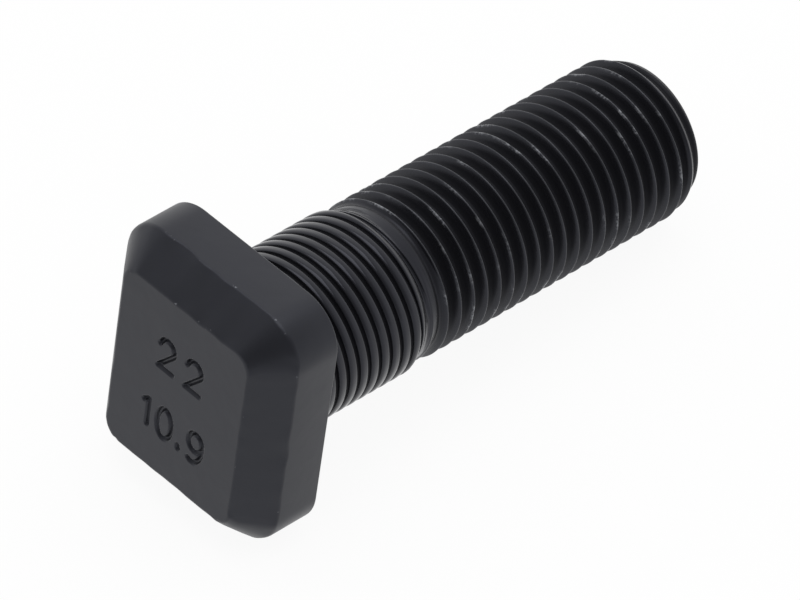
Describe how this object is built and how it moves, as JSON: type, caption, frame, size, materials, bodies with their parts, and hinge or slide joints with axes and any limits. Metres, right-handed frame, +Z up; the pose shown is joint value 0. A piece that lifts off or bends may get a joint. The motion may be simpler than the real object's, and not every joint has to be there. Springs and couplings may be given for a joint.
{
  "type": "wheel bolt",
  "caption": "Steel wheel bolt with a chamfered oblong head, a press-in locking band under it and a coarse threaded shank, lying on its side.",
  "frame": {"origin": "middle of the bolt's outline on the surface that it lies on", "axes": "+X along the bolt from the head to the tip, which dips 5.94 degrees because the head is taller than the shank; +Z up; +Y across the head's shorter side"},
  "size_m": [0.0838, 0.0304, 0.0367],
  "materials": {
    "phosphated_steel": "matt black phosphated and oiled steel"
  },
  "bodies": {
    "root": {"wheel_bolt": "phosphated_steel"}
  },
  "joints": []
}
